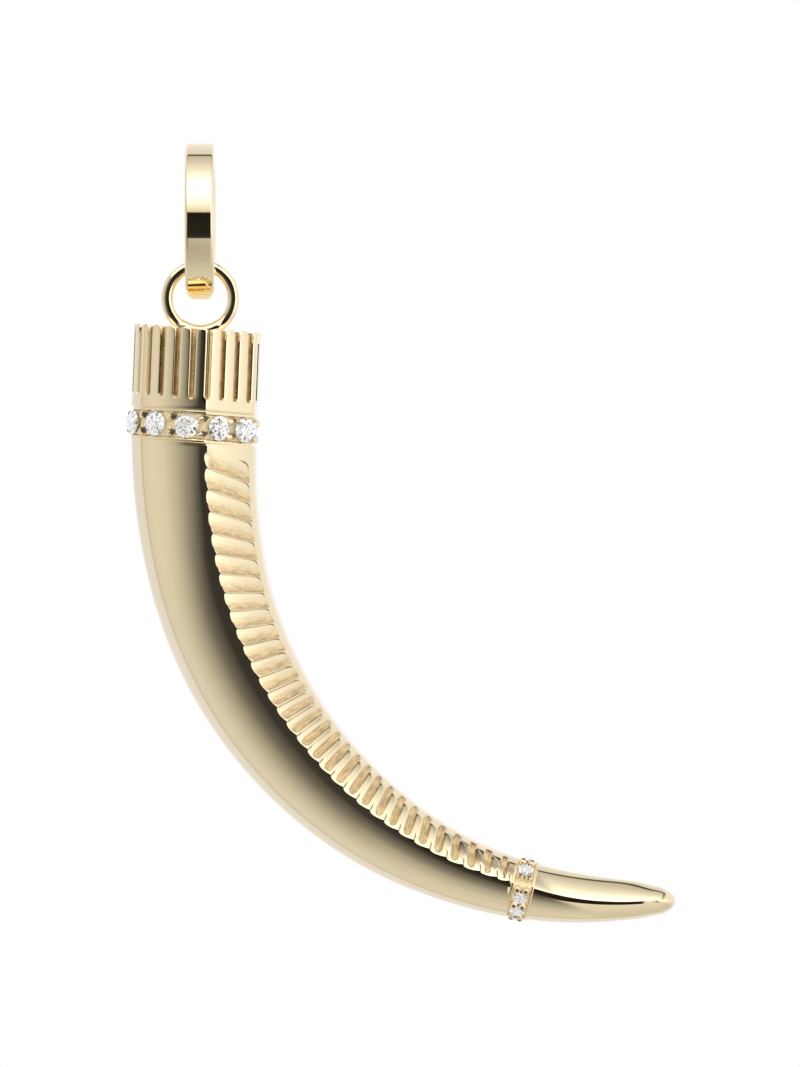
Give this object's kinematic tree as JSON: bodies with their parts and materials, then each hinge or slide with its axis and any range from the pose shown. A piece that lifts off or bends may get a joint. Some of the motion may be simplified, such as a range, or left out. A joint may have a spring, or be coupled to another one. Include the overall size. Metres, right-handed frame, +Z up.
{
  "type": "claw pendant",
  "caption": "Curved claw pendant in yellow gold with a fluted side, a fluted cap and stone-set collars, hanging by a soldered ring from an oval bail.",
  "frame": {"origin": "on the underside of the bail's top, in the middle of its band, where the chain rests", "axes": "+Z up as the pendant hangs, +X the way that the claw curves, -Y the front; the bail's hole runs along X"},
  "size_m": [0.0355, 0.008, 0.0503],
  "materials": {
    "gold": "pale yellow gold, mirror polished on the claw, cap, bail and tip, and matt in the floors of the flutes",
    "stone": "colourless round brilliant-cut stones"
  },
  "bodies": {
    "bail": {"bail": "gold"},
    "claw": {"cap": "gold", "collar": "gold", "claw": "gold", "tip_collar": "gold", "tip": "gold", "collar_stone_1": "stone", "collar_stone_2": "stone", "collar_stone_3": "stone", "collar_stone_4": "stone", "collar_stone_5": "stone", "collar_stone_6": "stone", "collar_stone_7": "stone", "collar_stone_8": "stone", "collar_stone_9": "stone", "collar_stone_10": "stone", "tip_stone_1": "stone", "tip_stone_2": "stone", "tip_stone_3": "stone", "tip_stone_4": "stone", "tip_stone_5": "stone", "tip_stone_6": "stone", "tip_stone_7": "stone", "tip_stone_8": "stone"}
  },
  "joints": [
    {"name": "claw_swing", "type": "hinge", "parent": "bail", "child": "claw", "pos_m": [0, 0, -0.00666], "axis": [1, 0, 0], "range_deg": [-80, 80]}
  ]
}
